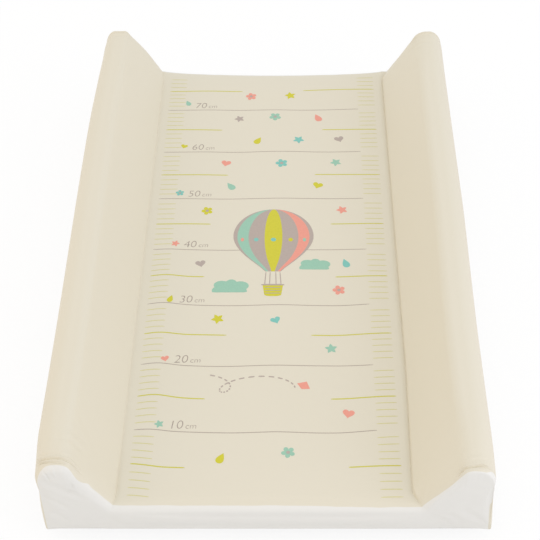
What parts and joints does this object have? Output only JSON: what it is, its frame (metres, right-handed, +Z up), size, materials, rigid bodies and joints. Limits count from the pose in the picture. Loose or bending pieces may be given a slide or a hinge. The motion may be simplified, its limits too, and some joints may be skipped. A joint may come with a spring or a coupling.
{
  "type": "hard changing pad",
  "caption": "Stiff, flat changing pad with two raised foam sides under a wipe-clean wrapped film, open at both ends, on two wooden locating battens.",
  "frame": {"origin": "on the surface that the battens stand on, under the middle of the pad", "axes": "+Y along the pad's length towards the end that is far away in the picture, +X to the right in the picture, +Z up"},
  "size_m": [0.5, 0.8, 0.1293],
  "materials": {
    "film": "satin wipe-clean film",
    "foam": "open-cell cut foam",
    "fibreboard": "raw fibreboard",
    "backing": "non-woven cloth",
    "pine": "planed pine",
    "steel": "zinc plated"
  },
  "bodies": {
    "root": {"cover_film": "film", "centre_foam": "foam", "left_bolster_foam": "foam", "right_bolster_foam": "foam", "base_board": "fibreboard", "backing_cloth": "backing", "front_batten": "pine", "rear_batten": "pine", "staple_01": "steel", "staple_02": "steel", "staple_03": "steel", "staple_04": "steel", "staple_05": "steel", "staple_06": "steel", "staple_07": "steel", "staple_08": "steel", "staple_09": "steel", "staple_10": "steel", "staple_11": "steel", "staple_12": "steel", "staple_13": "steel", "staple_14": "steel", "staple_15": "steel", "staple_16": "steel", "staple_17": "steel", "staple_18": "steel", "staple_19": "steel", "staple_20": "steel", "batten_screw_01": "steel", "batten_screw_02": "steel", "batten_screw_03": "steel", "batten_screw_04": "steel", "batten_screw_05": "steel", "batten_screw_06": "steel"}
  },
  "joints": []
}
